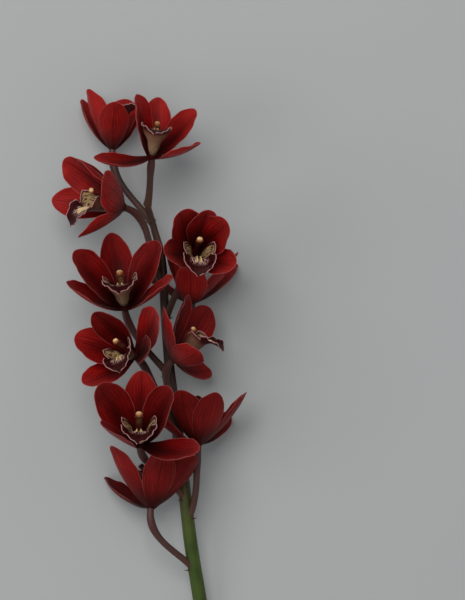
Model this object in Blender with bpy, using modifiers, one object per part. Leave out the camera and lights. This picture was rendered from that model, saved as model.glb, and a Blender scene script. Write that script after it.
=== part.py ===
"""A cut stem of a dark red cymbidium orchid, lying on a surface. Metres, +Z up, the tip towards +Y.

One fleshy stem carries eleven blooms on curved flower stalks. Each bloom is four pieces: five tepals
grown together on a small hub, a three-lobed lip, the arched column and the cap over its pollen.
The stem is laid out flat first, and everything is then turned a little so that it rests on its three
lowest tepals.
"""

import math
import random

import bmesh
import bpy
import numpy as np
from mathutils import Matrix, Vector

MM = 0.001

# The stem: its centre line from the cut end to the last flower stalk, and its radius along it.
STEM_LINE = [
    (0.0560, -0.3180, 0.0078),
    (0.0480, -0.2650, 0.0102),
    (0.0392, -0.2080, 0.0160),
    (0.0320, -0.1620, 0.0240),
    (0.0268, -0.1160, 0.0310),
    (0.0207, -0.0640, 0.0360),
    (0.0150, -0.0180, 0.0390),
    (0.0115, 0.0280, 0.0410),
    (0.0095, 0.0640, 0.0430),
    (0.0035, 0.0880, 0.0450),
    (-0.0020, 0.1080, 0.0480),
]
STEM_RADII = [5.8, 5.8, 5.6, 5.4, 5.0, 4.5, 4.0, 3.6, 3.2, 2.8, 2.4]
STEM_STEPS = 26
STEM_SIDES = 3

# Flower stalks: a slim stalk that swells where it leaves the stem and again in the ovary.
STALK_RADIUS = 2.6 * MM
STALK_FLARE = 0.9 * MM
STALK_FLARE_LENGTH = 7.0 * MM
OVARY_SWELL = 0.5 * MM
OVARY_PLACE = 0.80
OVARY_SPREAD = 0.14
STALK_STEPS = 8
STALK_SIDES = 1
STALK_EASE = 0.36
STALK_ALONG = 0.80
STALK_AWAY = 0.60
STALK_STUB = 1.5 * MM

# The bract below the foot of each stalk: a small pointed scale that leans away from the stem.
BRACT_LENGTH = 7.0 * MM
BRACT_RADIUS = 2.3 * MM
BRACT_TIP_RADIUS = 0.35 * MM
BRACT_SHOULDER_SHARE = 0.8
BRACT_SINK_SHARE = 0.55
BRACT_DROP = 2.0 * MM
BRACT_BOW = 0.4 * MM
BRACT_ALONG = 0.55
BRACT_AWAY = 0.85

# The tepals: length, width, the angles from the bloom's axis at the root and the tip, how far the
# blade curls across its width, and where round the axis it stands.
SEPAL_LENGTH = 57.0 * MM
SEPAL_WIDTH = 27.5 * MM
PETAL_LENGTH = 57.0 * MM
PETAL_WIDTH = 33.0 * MM
TEPAL_THICKNESS = 0.9 * MM
TEPAL_ROWS = 6
TEPAL_COLUMNS = 4
ROOT_WIDTH_SHARE = 0.24
WIDEST_PLACE = 0.60
WIDENING = 1.2
TIP_WIDTH_SHARE = 0.08
TIP_BLUNTNESS = 0.52
SEPAL_LIFT = 1.05 * MM
PETAL_LIFT = 1.9 * MM
TEPAL_ROOT = 3.0 * MM
CURL_AT_ROOT = 0.35
CURL_FULL_PLACE = 0.4
WAVE_TURNS = 1.5

# How much one tepal may differ from the next: angles in degrees, the others as they are used.
AZIMUTH_PLAY = 4.0
START_PLAY = 3.0
END_PLAY = 7.0
LENGTH_RANGE = (0.96, 1.03)
WIDTH_RANGE = (0.95, 1.05)
CURL_RANGE = (0.55, 0.80)
TWIST_PLAY = 0.16
SWAY_PLAY = 0.04
WAVE_RANGE = (0.3, 0.9)
FIRST_SEED = 100

# The kind of each tepal, where it stands round the bloom's axis, and its angle from the axis at the
# root and at the tip: the upper sepal, the two lower sepals and, in front of them, the two petals.
TEPAL_PLACES = [
    ("sepal", 90, 71, 16),
    ("sepal", 208, 85, 43),
    ("sepal", 332, 85, 43),
    ("petal", 152, 62, 28),
    ("petal", 28, 62, 28),
]

# The hub that the tepals grow from.
HUB_RADIUS = 4.8 * MM
HUB_BACK_SHARE = 0.75
HUB_HEIGHT = 3.4 * MM
HUB_SIDES = 10
GAP = 0.3 * MM

# The lip, from its foot to the tip of its middle lobe. Each station gives the place along it, the
# height above the bloom's axis, the distance out along the axis, half the width along the curve,
# and the angle that the curve has turned at its edge.
LIP_STATIONS = [
    (0.00, -2.4, 3.9, 4.2, 1.15),
    (0.14, -5.8, 9.2, 9.4, 1.90),
    (0.28, -8.0, 17.6, 15.0, 2.20),
    (0.42, -9.4, 24.2, 21.5, 1.70),
    (0.55, -10.9, 29.2, 16.0, 1.05),
    (0.70, -13.8, 34.2, 15.0, 0.65),
    (0.86, -19.8, 37.2, 11.0, 0.45),
    (1.00, -26.5, 37.8, 1.4, 0.25),
]
LIP_THICKNESS = 0.8 * MM
LIP_ROWS = 9
LIP_COLUMNS = 6
LIP_FRILL = 0.9 * MM
LIP_FRILL_TURNS = 5.0
LIP_FRILL_LEAN = 1.2
LIP_FRILL_FULL_PLACE = 0.5
SIDE_LOBE_REACH = 4.0 * MM
SIDE_LOBE_PLACE = 0.44
SIDE_LOBE_SPREAD = 0.10

# The column: its centre line above the axis and along it, with its radius, and the cap on its end.
COLUMN_STATIONS = [
    (1.4, 3.9, 2.9),
    (2.2, 8.0, 2.5),
    (4.8, 17.0, 2.3),
    (6.4, 25.0, 2.5),
    (5.6, 30.5, 2.7),
]
COLUMN_SIDES = 2
CAP_RADIUS = 2.5 * MM
CAP_LENGTH_SHARE = 0.80
CAP_BACK_SHARE = 0.45
CAP_AROUND = 8
CAP_RINGS = 5

# How the laid-out stem is turned and moved to lie on its three lowest tepals.
LIE_ROLL = -0.00422
LIE_SHIFT = (0.00110, 0.05867, -0.00136)

# The blooms, from the cut end to the tip: where the bloom sits, where its stalk leaves the stem
# (share of the stem's line), the way it faces and the way its upper sepal points. Then, for its five
# tepals, how far each is open and turned aside in degrees, and the size of the whole bloom.
BLOOMS = [
    dict(
        base=(0.0004, -0.1351, 0.0428), leaves=0.25, faces=(0.07, 0.97, -0.23), top=(-0.04, 0.23, 0.97),
        open=(0.92, 0.53, 0.92, 0.94, 0.89), turn=(17, 36, -13, -6, -2), size=0.97,
    ),
    dict(
        base=(0.0386, -0.0840, 0.0444), leaves=0.34, faces=(0.10, 0.99, 0.01), top=(0.57, -0.06, 0.82),
        open=(0.80, 0.95, 0.92, 0.80, 0.85), turn=(-22, 5, 10, -2, 2), size=0.95,
    ),
    dict(
        base=(-0.0075, -0.0827, 0.0766), leaves=0.375, faces=(0.00, 0.61, 0.79), top=(-0.01, 0.79, -0.61),
        open=(0.96, 0.44, 1.00, 0.80, 0.60), turn=(0, 9, 0, -9, 1), size=1.03,
    ),
    dict(
        base=(-0.0122, -0.0130, 0.0619), leaves=0.485, faces=(-0.45, 0.28, 0.85), top=(-0.24, 0.88, -0.41),
        open=(0.61, 0.80, 0.61, 0.67, 1.21), turn=(2, -2, 4, 4, -10), size=0.91,
    ),
    dict(
        base=(0.0182, -0.0164, 0.0586), leaves=0.515, faces=(0.67, 0.71, 0.23), top=(-0.67, 0.70, -0.25),
        open=(0.55, 0.85, 1.34, 1.09, 0.85), turn=(0, 1, 13, -2, -4), size=0.95,
    ),
    dict(
        base=(-0.0200, 0.0254, 0.0592), leaves=0.575, faces=(-0.10, 0.76, 0.64), top=(-0.05, 0.64, -0.77),
        open=(0.87, 0.71, 0.68, 0.71, 0.87), turn=(1, -9, 2, 2, 6), size=1.02,
    ),
    dict(
        base=(0.0334, 0.0293, 0.0341), leaves=0.62, faces=(0.04, 1.00, 0.03), top=(0.25, -0.04, 0.97),
        open=(1.19, 0.82, 0.89, 0.85, 0.68), turn=(-17, -1, -3, -3, -1), size=0.94,
    ),
    dict(
        base=(0.0367, 0.0688, 0.0778), leaves=0.675, faces=(0.12, 0.19, 0.97), top=(0.04, 0.98, -0.20),
        open=(0.46, 0.44, 0.57, 0.70, 0.49), turn=(-1, -5, -4, -22, 15), size=0.95,
    ),
    dict(
        base=(-0.0203, 0.1056, 0.0640), leaves=0.74, faces=(-0.85, 0.25, 0.46), top=(0.35, 0.93, 0.14),
        open=(0.47, 0.66, 0.65, 0.82, 0.92), turn=(0, -4, -8, -1, 3), size=1.01,
    ),
    dict(
        base=(-0.0304, 0.1530, 0.0320), leaves=0.93, faces=(0.06, 1.00, -0.05), top=(-0.91, 0.03, -0.41),
        open=(0.82, 0.78, 0.59, 0.62, 0.66), turn=(-4, -3, 16, 5, -15), size=0.90,
    ),
    dict(
        base=(0.0021, 0.1450, 0.0690), leaves=1.0, faces=(0.14, 0.87, 0.48), top=(0.07, 0.48, -0.88),
        open=(0.93, 1.29, 0.77, 0.48, 0.91), turn=(-2, 4, -5, 7, -1), size=0.89,
    ),
]

COLOURS = {
    "stem": ((0.060, 0.100, 0.018), 0.45),
    "tepals": ((0.135, 0.006, 0.006), 0.50),
    "lip": ((0.060, 0.006, 0.009), 0.50),
    "column": ((0.110, 0.012, 0.012), 0.45),
    "anther_cap": ((0.620, 0.360, 0.130), 0.45),
}


STEP = 0.01
WELD = 0.01 * MM
SHARP_EDGE = math.radians(50)
QUARTER = math.pi / 2
TURN = 2 * math.pi


def material(kind):
    """The plain material of one kind of piece, made once."""
    found = bpy.data.materials.get(kind)
    if found:
        return found
    colour, roughness = COLOURS[kind]
    made = bpy.data.materials.new(kind)
    made.use_nodes = True
    shader = made.node_tree.nodes["Principled BSDF"]
    shader.inputs["Base Color"].default_value = (*colour, 1.0)
    shader.inputs["Roughness"].default_value = roughness
    shader.inputs["Metallic"].default_value = 0.0
    return made


def smooth(stations, places):
    """The rows of stations as a smooth curve through them, read at places from 0 to 1 (Catmull-Rom)."""
    rows = np.asarray(stations, float)
    last = len(rows) - 1
    rows = np.vstack([2 * rows[0] - rows[1], rows, 2 * rows[-1] - rows[-2]])
    spot = np.clip(np.asarray(places, float), 0.0, 1.0) * last
    cell = np.minimum(spot.astype(int), last - 1)
    t = (spot - cell)[..., None]
    a, b, c, d = (rows[cell + i] for i in range(4))
    return b + 0.5 * t * (c - a + t * (2 * a - 5 * b + 4 * c - d + t * (3 * (b - c) + d - a)))


def evaluated(obj):
    """A new mesh of obj with its modifiers applied."""
    bpy.context.view_layer.update()
    graph = bpy.context.evaluated_depsgraph_get()
    return bpy.data.meshes.new_from_object(obj.evaluated_get(graph))


def remove(obj):
    bpy.data.objects.remove(obj, do_unlink=True)


def as_mesh_object(name, source, collection):
    """source as a mesh object of its own with its caps welded, in place of source."""
    mesh = evaluated(source)
    mesh.transform(source.matrix_world)
    bm = bmesh.new()
    bm.from_mesh(mesh)
    bmesh.ops.remove_doubles(bm, verts=bm.verts, dist=WELD)
    bmesh.ops.recalc_face_normals(bm, faces=bm.faces)
    bm.to_mesh(mesh)
    bm.free()
    remove(source)
    made = bpy.data.objects.new(name, mesh)
    collection.objects.link(made)
    return made


def union(first, others):
    """Joins the objects of a collection into first with one Boolean, and removes them."""
    join = first.modifiers.new("join", "BOOLEAN")
    join.operation = "UNION"
    join.operand_type = "COLLECTION"
    join.solver = "EXACT"
    join.collection = others
    mesh = evaluated(first)
    first.modifiers.remove(join)
    keep_main_body(mesh)
    first.data = mesh
    for obj in list(others.objects):
        remove(obj)


def keep_main_body(mesh):
    """Drops the skin of any tiny sealed gap between grown-together roots."""
    bm = bmesh.new()
    bm.from_mesh(mesh)
    left = set(bm.faces)
    bodies = []
    while left:
        body = []
        front = [left.pop()]
        while front:
            face = front.pop()
            body.append(face)
            plain = [edge for edge in face.edges if len(edge.link_faces) == 2]
            near = {other for edge in plain for other in edge.link_faces} & left
            left -= near
            front.extend(near)
        bodies.append(body)
    bodies.sort(key=len)
    for body in bodies[:-1]:
        bmesh.ops.delete(bm, geom=body, context="FACES")
    bm.to_mesh(mesh)
    bm.free()


def bowed_sheet(name, rows, columns, place, thickness, collection):
    """A grid shaped by place(t, v), thickened behind its front face into a closed blade."""
    bm = bmesh.new()
    bmesh.ops.create_grid(bm, x_segments=columns, y_segments=rows, size=1.0)
    for vert in bm.verts:
        vert.co = place((vert.co.y + 1) / 2, vert.co.x)
    bmesh.ops.triangulate(bm, faces=bm.faces, quad_method="FIXED")
    mesh = bpy.data.meshes.new(name)
    bm.to_mesh(mesh)
    bm.free()
    blade = bpy.data.objects.new(name, mesh)
    collection.objects.link(blade)
    thicken = blade.modifiers.new("thickness", "SOLIDIFY")
    thicken.thickness = thickness
    thicken.offset = -1.0
    return as_mesh_object(name, blade, collection)


def tepal_outline(t):
    """Half the width at t, as a share of the greatest half width."""
    if t < WIDEST_PLACE:
        rise = math.sin(QUARTER * t / WIDEST_PLACE) ** WIDENING
        return ROOT_WIDTH_SHARE + (1 - ROOT_WIDTH_SHARE) * rise
    past = (t - WIDEST_PLACE) / (1 - WIDEST_PLACE)
    return max((1 - past * past) ** TIP_BLUNTNESS, TIP_WIDTH_SHARE)


def tepal_place(spec):
    """The function from (share of the length, place across) to a point of the tepal's front face."""
    start, end = math.radians(spec["start"]), math.radians(spec["end"])
    bend = end - start
    round_axis = math.radians(spec["azimuth"])
    out = Vector((math.cos(round_axis), math.sin(round_axis), 0))
    axis = Vector((0, 0, 1))
    across = out.cross(axis)

    def place(s, v):
        t = math.sin(QUARTER * s)
        angle = start + bend * t
        reach = (math.cos(start) - math.cos(angle)) / bend * spec["length"]
        rise = (math.sin(angle) - math.sin(start)) / bend * spec["length"]
        normal = axis * math.sin(angle) - out * math.cos(angle)
        twist = spec["twist"] * t
        side = across * math.cos(twist) + normal * math.sin(twist)
        front = normal * math.cos(twist) - across * math.sin(twist)
        half = spec["width"] / 2 * tepal_outline(t)
        curl = spec["curl"] * (CURL_AT_ROOT + (1 - CURL_AT_ROOT) * min(1.0, t / CURL_FULL_PLACE))
        ripple = spec["wave"] * abs(v) ** 3 * math.sin(TURN * WAVE_TURNS * t + spec["phase"] + v)
        middle = out * (TEPAL_ROOT + reach) + axis * (spec["lift"] + rise)
        middle += side * (spec["sway"] * spec["length"] * t * t)
        return (
            middle
            + side * (half / curl * math.sin(curl * v))
            + front * (half / curl * (1 - math.cos(curl * v)) + ripple * t)
        )

    return place


def tepal_specs(bloom, rng):
    """The five tepals of a bloom: the upper sepal, the two lower sepals and, inside them, two petals."""
    specs = []
    for opening, turn, (kind, azimuth, start, end) in zip(bloom["open"], bloom["turn"], TEPAL_PLACES):
        sepal = kind == "sepal"
        specs.append(
            dict(
                azimuth=azimuth + turn + rng.uniform(-AZIMUTH_PLAY, AZIMUTH_PLAY),
                start=start * opening + rng.uniform(-START_PLAY, START_PLAY),
                end=end * opening + rng.uniform(-END_PLAY, END_PLAY),
                length=(SEPAL_LENGTH if sepal else PETAL_LENGTH) * rng.uniform(*LENGTH_RANGE),
                width=(SEPAL_WIDTH if sepal else PETAL_WIDTH) * rng.uniform(*WIDTH_RANGE),
                curl=rng.uniform(*CURL_RANGE),
                twist=rng.uniform(-TWIST_PLAY, TWIST_PLAY),
                sway=rng.uniform(-SWAY_PLAY, SWAY_PLAY),
                wave=rng.uniform(*WAVE_RANGE) * MM,
                phase=rng.uniform(0, TURN),
                lift=SEPAL_LIFT if sepal else PETAL_LIFT,
            )
        )
    return specs


def make_tepals(name, bloom, rng, parts):
    """The five tepals on their hub, as one solid in the bloom's own frame."""
    blades = bpy.data.collections.new(name + "_blades")
    bpy.context.scene.collection.children.link(blades)
    for i, spec in enumerate(tepal_specs(bloom, rng)):
        blade = f"{name}_{i}"
        bowed_sheet(blade, TEPAL_ROWS, TEPAL_COLUMNS, tepal_place(spec), TEPAL_THICKNESS, blades)
    bm = bmesh.new()
    bmesh.ops.create_cone(
        bm,
        cap_ends=True,
        segments=HUB_SIDES,
        radius1=HUB_RADIUS * HUB_BACK_SHARE,
        radius2=HUB_RADIUS,
        depth=HUB_HEIGHT,
        matrix=Matrix.Translation((0, 0, HUB_HEIGHT / 2)),
    )
    mesh = bpy.data.meshes.new(name)
    bm.to_mesh(mesh)
    bm.free()
    hub = bpy.data.objects.new(name, mesh)
    parts.objects.link(hub)
    union(hub, blades)
    bpy.data.collections.remove(blades)
    return hub


def lip_place(s, v):
    """The point of the lip's outer face at s from foot to tip and v across."""
    _, height, out, half, turn = smooth(LIP_STATIONS, lip_spot(s))
    ahead = smooth(LIP_STATIONS, lip_spot(min(1.0, s + STEP)))
    behind = smooth(LIP_STATIONS, lip_spot(max(0.0, s - STEP)))
    along = Vector((0, ahead[1] - behind[1], ahead[2] - behind[2])).normalized()
    upward = Vector((0, along.z, -along.y))
    half *= MM
    sideways = half / turn * math.sin(turn * v)
    rise = half / turn * (1 - math.cos(turn * v))
    lobe = math.exp(-(((s - SIDE_LOBE_PLACE) / SIDE_LOBE_SPREAD) ** 2))
    reach = SIDE_LOBE_REACH * lobe * abs(v) ** 3
    frill = LIP_FRILL * v * v * math.sin(TURN * LIP_FRILL_TURNS * s + LIP_FRILL_LEAN * v)
    frill *= min(1.0, s / LIP_FRILL_FULL_PLACE)
    middle = Vector((0, height * MM, out * MM))
    return middle + Vector((sideways, 0, 0)) + upward * (rise + frill) + along * reach


def lip_spot(s):
    """The share of the station list at share s of the lip, since the stations aren't evenly spaced."""
    places = [row[0] for row in LIP_STATIONS]
    return float(np.interp(s, places, np.linspace(0, 1, len(places))))


def make_lip(name, parts):
    return bowed_sheet(name, LIP_ROWS, LIP_COLUMNS, lip_place, LIP_THICKNESS, parts)


def tube(name, points, radii, sides, collection):
    """A closed round tube along points, made from a curve with a bevel."""
    curve = bpy.data.curves.new(name, "CURVE")
    curve.dimensions = "3D"
    curve.bevel_depth = 1.0
    curve.bevel_resolution = sides
    curve.use_fill_caps = True
    spline = curve.splines.new("POLY")
    spline.points.add(len(points) - 1)
    for point, place, radius in zip(spline.points, points, radii):
        point.co = (*place, 1.0)
        point.radius = radius
    obj = bpy.data.objects.new(name, curve)
    collection.objects.link(obj)
    return as_mesh_object(name, obj, collection)


def make_column(name, parts):
    points = [(0, height * MM, out * MM) for height, out, _ in COLUMN_STATIONS]
    return tube(name, points, [radius * MM for _, _, radius in COLUMN_STATIONS], COLUMN_SIDES, parts)


def make_cap(name, parts):
    """The cap that sits on the column's end, a squat ball with a flat back."""
    height, out, _ = COLUMN_STATIONS[-1]
    before = COLUMN_STATIONS[-2]
    along = Vector((0, height - before[0], out - before[1])).normalized()
    turn = Vector((0, 0, 1)).rotation_difference(along).to_matrix().to_4x4()
    bm = bmesh.new()
    bmesh.ops.create_uvsphere(bm, u_segments=CAP_AROUND, v_segments=CAP_RINGS, radius=CAP_RADIUS)
    back = -CAP_BACK_SHARE * CAP_RADIUS
    for vert in bm.verts:
        vert.co.z = max(vert.co.z * CAP_LENGTH_SHARE, back)
    bmesh.ops.remove_doubles(bm, verts=bm.verts, dist=WELD)
    seat = Vector((0, height * MM, out * MM)) + along * (GAP - back)
    bm.transform(Matrix.Translation(seat) @ turn)
    mesh = bpy.data.meshes.new(name)
    bm.to_mesh(mesh)
    bm.free()
    cap = bpy.data.objects.new(name, mesh)
    parts.objects.link(cap)
    return cap


def bloom_matrix(bloom):
    """From the bloom's own frame (right, up, out) to its place on the laid-out stem."""
    out = Vector(bloom["faces"]).normalized()
    up = Vector(bloom["top"])
    up = (up - out * up.dot(out)).normalized()
    right = up.cross(out)
    turn = Matrix((right, up, out)).transposed().to_4x4()
    return Matrix.Translation(bloom["base"]) @ turn @ Matrix.Scale(bloom["size"], 4)


def stem_at(share):
    """The stem's centre and direction at a share of its line."""
    here = Vector(smooth(STEM_LINE, share))
    ahead = Vector(smooth(STEM_LINE, min(1.0, share + STEP)))
    behind = Vector(smooth(STEM_LINE, max(0.0, share - STEP)))
    return here, (ahead - behind).normalized()


def stem_radii(shares):
    """The stem's radius at shares of its line."""
    return smooth([[radius] for radius in STEM_RADII], shares)[..., 0] * MM


def stalk_points(bloom):
    """The flower stalk's centre line, from inside the stem to a short straight end behind the bloom."""
    root, along = stem_at(bloom["leaves"])
    out = Vector(bloom["faces"]).normalized()
    end = Vector(bloom["base"]) - out * GAP
    bent = end - out * STALK_STUB
    gap = bent - root
    away = (gap - along * gap.dot(along)).normalized()
    ease = gap.length * STALK_EASE
    first = root + (along * STALK_ALONG + away * STALK_AWAY) * ease
    second = bent - out * ease
    points = []
    for i in range(STALK_STEPS + 1):
        t = i / STALK_STEPS
        s = 1 - t
        points.append(root * s**3 + first * (3 * s * s * t) + second * (3 * s * t * t) + bent * t**3)
    return points + [end]


def stalk_radius(place, length):
    flare = STALK_FLARE * math.exp(-place * length / STALK_FLARE_LENGTH)
    ovary = OVARY_SWELL * math.exp(-(((place - OVARY_PLACE) / OVARY_SPREAD) ** 2))
    return STALK_RADIUS + flare + ovary


def make_bract(name, bloom, collection):
    """The small pointed scale below the foot of a flower stalk."""
    root, along = stem_at(bloom["leaves"])
    points = stalk_points(bloom)
    away = points[2] - root
    away = (away - along * away.dot(along)).normalized()
    foot = root + away * (stem_radii(bloom["leaves"]) * BRACT_SINK_SHARE) - along * BRACT_DROP
    tip = foot + (along * BRACT_ALONG + away * BRACT_AWAY).normalized() * BRACT_LENGTH
    shoulder = (foot * 2 + tip) / 3 + along * BRACT_BOW
    radii = [BRACT_RADIUS, BRACT_RADIUS * BRACT_SHOULDER_SHARE, BRACT_TIP_RADIUS]
    return tube(name, [foot, shoulder, tip], radii, 0, collection)


def make_stem(parts):
    """The stem, its flower stalks and their scales, grown together as one solid."""
    shares = np.linspace(0, 1, STEM_STEPS + 1)
    stem = tube("stem", smooth(STEM_LINE, shares), stem_radii(shares), STEM_SIDES, parts)
    stalks = bpy.data.collections.new("stalks")
    bpy.context.scene.collection.children.link(stalks)
    for i, bloom in enumerate(BLOOMS):
        points = stalk_points(bloom)
        length = sum((b - a).length for a, b in zip(points, points[1:]))
        radii = [stalk_radius(place, length) for place in np.linspace(0, 1, len(points))]
        tube(f"stalk_{i}", points, radii, STALK_SIDES, stalks)
        if bloom["leaves"] < 1.0:
            make_bract(f"bract_{i}", bloom, stalks)
    union(stem, stalks)
    bpy.data.collections.remove(stalks)
    return stem


def finish_piece(obj, kind, place):
    obj.data.transform(place)
    obj.data.materials.clear()
    obj.data.materials.append(material(kind))
    obj.data.shade_smooth()
    obj.data.set_sharp_from_angle(angle=SHARP_EDGE)


def main():
    for obj in list(bpy.data.objects):
        bpy.data.objects.remove(obj, do_unlink=True)
    parts = bpy.data.collections.new("cymbidium_orchid_stem")
    bpy.context.scene.collection.children.link(parts)
    lie = Matrix.Translation(LIE_SHIFT) @ Matrix.Rotation(LIE_ROLL, 4, "Y")
    finish_piece(make_stem(parts), "stem", lie)
    for i, bloom in enumerate(BLOOMS):
        rng = random.Random(FIRST_SEED + i)
        name = f"bloom_{i + 1:02d}"
        place = lie @ bloom_matrix(bloom)
        finish_piece(make_tepals(name + "_tepals", bloom, rng, parts), "tepals", place)
        finish_piece(make_lip(name + "_lip", parts), "lip", place)
        finish_piece(make_column(name + "_column", parts), "column", place)
        finish_piece(make_cap(name + "_anther_cap", parts), "anther_cap", place)


main()
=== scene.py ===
"""A cut stem of a dark red cymbidium orchid, lying on a pale floor and seen from straight above.

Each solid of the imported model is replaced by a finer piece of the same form, built from the same
named values: tepals with thin rims and a midrib, frilled lips with a notch and two ridges, winged
columns, round caps, and the stem with its flower stalks and bracts. Metres, +Z up.
"""

import math
import random

import bpy
import numpy as np
from mathutils import Matrix, Vector


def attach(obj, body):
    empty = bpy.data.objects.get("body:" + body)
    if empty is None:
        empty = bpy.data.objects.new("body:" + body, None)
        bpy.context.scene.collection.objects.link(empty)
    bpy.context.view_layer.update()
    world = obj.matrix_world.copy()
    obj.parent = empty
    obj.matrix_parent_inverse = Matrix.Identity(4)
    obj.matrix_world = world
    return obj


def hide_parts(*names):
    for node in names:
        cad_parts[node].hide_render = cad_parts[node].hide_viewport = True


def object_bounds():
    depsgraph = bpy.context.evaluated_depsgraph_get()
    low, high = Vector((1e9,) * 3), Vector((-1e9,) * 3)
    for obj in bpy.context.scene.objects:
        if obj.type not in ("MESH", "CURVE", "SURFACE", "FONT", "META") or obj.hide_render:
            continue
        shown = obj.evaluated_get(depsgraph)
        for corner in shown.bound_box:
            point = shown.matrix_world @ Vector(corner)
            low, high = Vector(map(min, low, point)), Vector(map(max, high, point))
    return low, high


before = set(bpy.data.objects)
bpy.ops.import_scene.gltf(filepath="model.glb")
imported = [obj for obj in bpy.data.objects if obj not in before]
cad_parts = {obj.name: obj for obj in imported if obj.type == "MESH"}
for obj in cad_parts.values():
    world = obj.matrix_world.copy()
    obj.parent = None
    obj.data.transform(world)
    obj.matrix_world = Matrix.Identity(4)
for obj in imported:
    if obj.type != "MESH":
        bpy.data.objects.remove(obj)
cad_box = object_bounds()

MM = 0.001
QUARTER = math.pi / 2
TURN = 2 * math.pi
SMOOTH_UP_TO = math.radians(55)

# The stem, as the solids have it.
STEM_LINE = [
    (0.0560, -0.3180, 0.0078),
    (0.0480, -0.2650, 0.0102),
    (0.0392, -0.2080, 0.0160),
    (0.0320, -0.1620, 0.0240),
    (0.0268, -0.1160, 0.0310),
    (0.0207, -0.0640, 0.0360),
    (0.0150, -0.0180, 0.0390),
    (0.0115, 0.0280, 0.0410),
    (0.0095, 0.0640, 0.0430),
    (0.0035, 0.0880, 0.0450),
    (-0.0020, 0.1080, 0.0480),
]
STEM_RADII = [5.8, 5.8, 5.6, 5.4, 5.0, 4.5, 4.0, 3.6, 3.2, 2.8, 2.4]
STALK_RADIUS = 2.6 * MM
STALK_FLARE = 0.9 * MM
STALK_FLARE_LENGTH = 7.0 * MM
OVARY_SWELL = 0.5 * MM
OVARY_PLACE = 0.80
OVARY_SPREAD = 0.14
STALK_EASE = 0.36
STALK_ALONG = 0.80
STALK_AWAY = 0.60
STALK_STUB = 1.5 * MM
BRACT_LENGTH = 7.0 * MM
BRACT_SINK_SHARE = 0.55
BRACT_DROP = 2.0 * MM
BRACT_ALONG = 0.55
BRACT_AWAY = 0.85

# The finer stem: rings along it and sides round it, its low ribs, and the ribs of the ovaries.
STEM_RINGS = 260
STEM_ROUND = 48
STEM_RIBS = 5
STEM_RIB_SHARE = 0.018
STALK_RINGS = 64
STALK_ROUND = 30
OVARY_RIBS = 3
OVARY_RIB_SHARE = 0.085
STALK_RIB_SHARE = 0.012
STALK_REACH = 0.7 * MM
BRACT_ROWS = 16
BRACT_COLUMNS = 14
BRACT_WIDTH = 5.2 * MM
BRACT_THICKNESS = 0.5 * MM
BRACT_WRAP = 1.25
BRACT_TIP_BOW = 0.9 * MM
BRACT_TAPER = 1.6
BRACT_BELLY = (0.25, 0.3, 0.25)
BRACT_TIP_SHARE = 0.05
BRACT_UNWRAPPING = 0.6
BRACT_THINNING = 0.5
BRACT_AIM_RING = 12
CUT_RINGS = np.array([0.02, 0.35, 0.70, 0.95])
CUT_STEP = 0.05 * MM

# The tepals, as the solids have them.
SEPAL_LENGTH = 57.0 * MM
SEPAL_WIDTH = 27.5 * MM
PETAL_LENGTH = 57.0 * MM
PETAL_WIDTH = 33.0 * MM
TEPAL_THICKNESS = 0.9 * MM
ROOT_WIDTH_SHARE = 0.24
WIDEST_PLACE = 0.60
WIDENING = 1.2
SEPAL_LIFT = 1.05 * MM
PETAL_LIFT = 1.9 * MM
TEPAL_ROOT = 3.0 * MM
CURL_AT_ROOT = 0.35
CURL_FULL_PLACE = 0.4
WAVE_TURNS = 1.5
AZIMUTH_PLAY = 4.0
START_PLAY = 3.0
END_PLAY = 7.0
LENGTH_RANGE = (0.96, 1.03)
WIDTH_RANGE = (0.95, 1.05)
CURL_RANGE = (0.55, 0.80)
TWIST_PLAY = 0.16
SWAY_PLAY = 0.04
WAVE_RANGE = (0.3, 0.9)
FIRST_SEED = 100
TONE_PLAY = 0.4
TEPAL_PLACES = [
    ("sepal", 90, 71, 16),
    ("sepal", 208, 85, 43),
    ("sepal", 332, 85, 43),
    ("petal", 152, 62, 28),
    ("petal", 28, 62, 28),
]
HUB_RADIUS = 4.8 * MM
HUB_BACK_SHARE = 0.75
HUB_HEIGHT = 3.4 * MM
GAP = 0.3 * MM

# The finer tepals: rows and columns, thin rims, the crease of the midrib, small waves at the rim, and
# tips that the curl and the waves leave flat.
TEPAL_ROWS = 56
TEPAL_COLUMNS = 36
EDGE_CROWDING = 0.6
SEPAL_BLUNTNESS = 0.60
PETAL_BLUNTNESS = 0.53
TIP_SHARE = 0.025
TIP_FLATTENING = 0.75
TIP_FLAT_PLACE = 0.86
RIM_THINNING = 0.62
RIM_SOFTNESS = 1.3 * MM
CREASE_DEPTH = 0.30 * MM
RIB_HEIGHT = 0.35 * MM
CREASE_WIDTH = 1.2 * MM
CREASE_START = (0.02, 0.15)
CREASE_END = (0.03, 0.20)
RIM_WAVE = 0.38 * MM
RIM_WAVE_TURNS = 4.3
HUB_ROUND = 32
HUB_ROUNDING = (0.35, 0.8)
HUB_RINGS = 8

# The lip, as the solids have it.
LIP_STATIONS = [
    (0.00, -2.4, 3.9, 4.2, 1.15),
    (0.14, -5.8, 9.2, 9.4, 1.90),
    (0.28, -8.0, 17.6, 15.0, 2.20),
    (0.42, -9.4, 24.2, 21.5, 1.70),
    (0.55, -10.9, 29.2, 16.0, 1.05),
    (0.70, -13.8, 34.2, 15.0, 0.65),
    (0.86, -19.8, 37.2, 11.0, 0.45),
    (1.00, -26.5, 37.8, 1.4, 0.25),
]
LIP_THICKNESS = 0.8 * MM
LIP_FRILL = 0.9 * MM
LIP_FRILL_TURNS = 5.0
LIP_FRILL_LEAN = 1.2
LIP_FRILL_FULL_PLACE = 0.5
SIDE_LOBE_REACH = 4.0 * MM
SIDE_LOBE_PLACE = 0.44
SIDE_LOBE_SPREAD = 0.10
STEP = 0.01

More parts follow.
